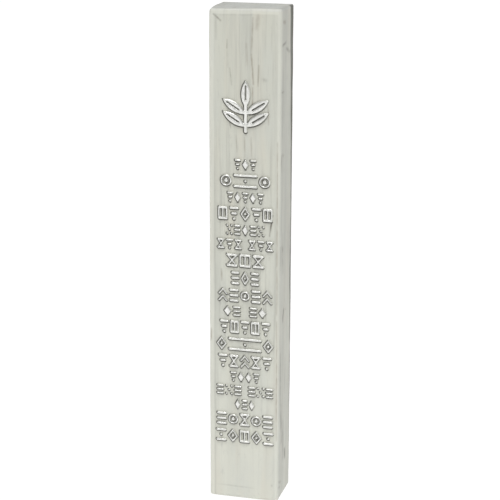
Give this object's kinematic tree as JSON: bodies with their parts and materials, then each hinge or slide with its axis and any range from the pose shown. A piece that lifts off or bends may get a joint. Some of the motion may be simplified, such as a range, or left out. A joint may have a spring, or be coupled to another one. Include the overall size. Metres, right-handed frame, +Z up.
{
  "type": "mezuzah case",
  "caption": "Slim upright block with a relief emblem and ornament rows on its front, a closed round chamber for a rolled parchment and a flat back that is taped to a door post.",
  "frame": {"origin": "centre of the mounting tape's outer face, where it meets the door post", "axes": "+Z up along the case, +X to the viewer's right, +Y into the wall"},
  "size_m": [0.0216, 0.0166, 0.15],
  "materials": {
    "cast_stone": "matte off-white cast stone with grey-beige streaks",
    "silvered_relief": "rubbed silver leaf, satin",
    "stopper_rubber": "grey translucent silicone rubber, matte",
    "parchment": "cream scraped parchment, matte",
    "sleeve_film": "thin clear film",
    "foam_tape": "white closed-cell foam"
  },
  "bodies": {
    "case": {"case_body": "cast_stone", "emblem_relief": "silvered_relief", "ornament_row_01": "silvered_relief", "ornament_row_02": "silvered_relief", "ornament_row_03": "silvered_relief", "ornament_row_04": "silvered_relief", "ornament_row_05": "silvered_relief", "ornament_row_06": "silvered_relief", "ornament_row_07": "silvered_relief", "ornament_row_08": "silvered_relief", "ornament_row_09": "silvered_relief", "ornament_row_10": "silvered_relief", "ornament_row_11": "silvered_relief", "ornament_row_12": "silvered_relief", "ornament_row_13": "silvered_relief", "ornament_row_14": "silvered_relief", "ornament_row_15": "silvered_relief", "ornament_row_16": "silvered_relief", "ornament_row_17": "silvered_relief", "ornament_row_18": "silvered_relief", "mounting_tape": "foam_tape"},
    "stopper": {"stopper": "stopper_rubber"},
    "scroll": {"parchment_scroll": "parchment", "scroll_sleeve": "sleeve_film"}
  },
  "joints": [
    {"name": "stopper_pull", "type": "slide", "parent": "case", "child": "stopper", "axis": [0, 0, -1], "range_m": [0, 0.14]},
    {"name": "scroll_slide", "type": "slide", "parent": "case", "child": "scroll", "axis": [0, 0, -1], "range_m": [0, 0.133]}
  ],
  "couplings": [
    {"joint": "scroll_slide", "follows": "stopper_pull", "ratio": 0.95}
  ]
}
